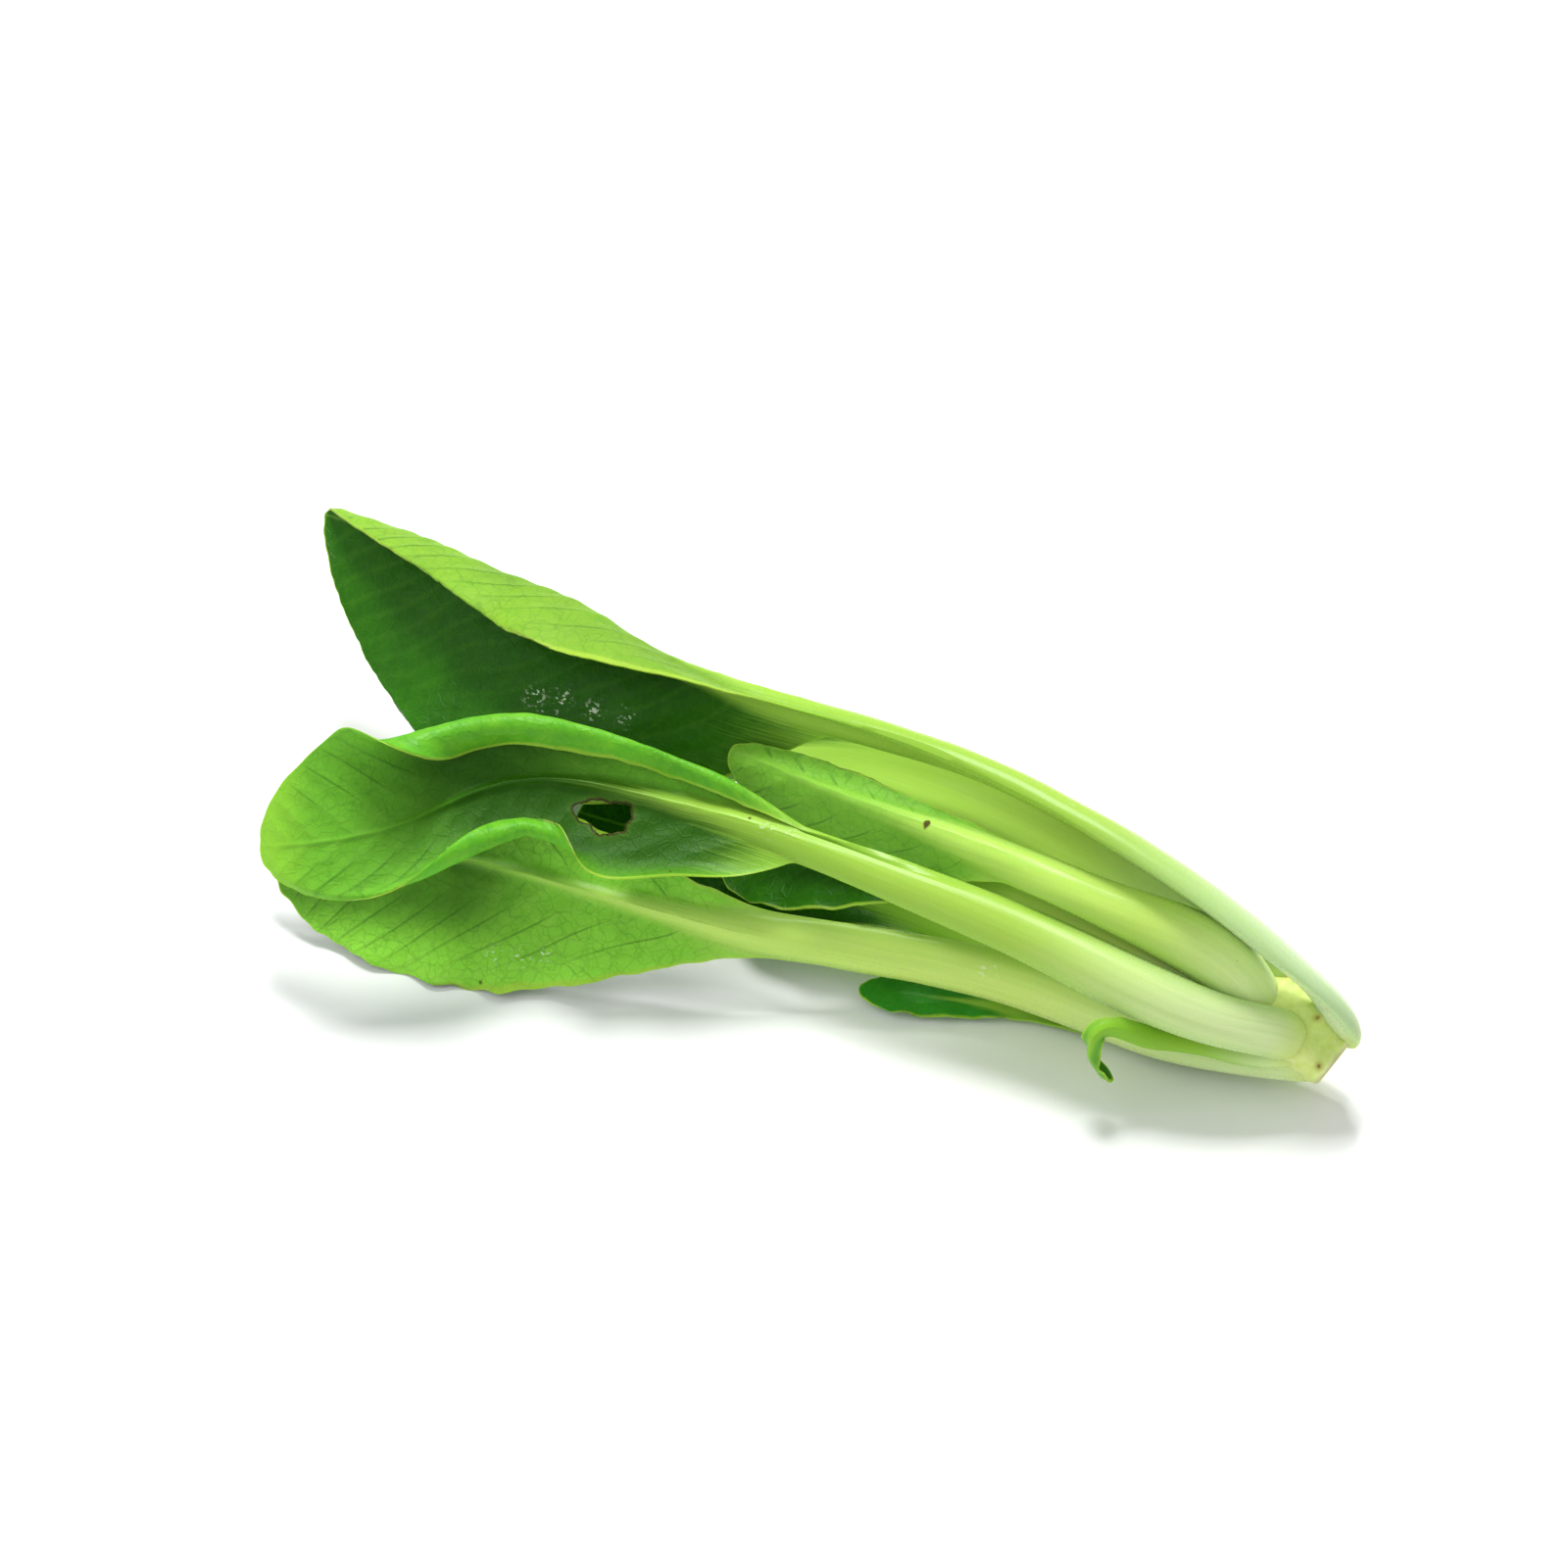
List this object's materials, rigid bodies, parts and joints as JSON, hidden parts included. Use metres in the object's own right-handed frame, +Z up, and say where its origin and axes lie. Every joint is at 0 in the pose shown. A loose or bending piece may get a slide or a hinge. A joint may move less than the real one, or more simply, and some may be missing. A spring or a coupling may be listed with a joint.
{
  "type": "head of bok choy",
  "caption": "Young head of bok choy with its roots cut off, lying on its side, with pale half-round stalks and dark spoon-shaped leaves.",
  "frame": {"origin": "under the middle of the head's bounding box, on the surface it lies on", "axes": "+Z up from the surface, X along the head with the cut stem at +X and the leaf tips at -X, Y across it"},
  "size_m": [0.2482, 0.099, 0.0548],
  "materials": {
    "leaf": "waxy green leaf, paler and matter underneath, running into a pale glossy stalk",
    "stem": "moist pale yellow-green, dull brown at the scars"
  },
  "bodies": {
    "root": {"stem_base": "stem", "front_leaf": "leaf", "lower_leaf": "leaf", "folded_leaf": "leaf", "middle_leaf": "leaf", "back_leaf": "leaf", "inner_leaf": "leaf", "heart_leaf": "leaf", "curled_leaflet": "leaf", "small_leaf": "leaf"}
  },
  "joints": []
}
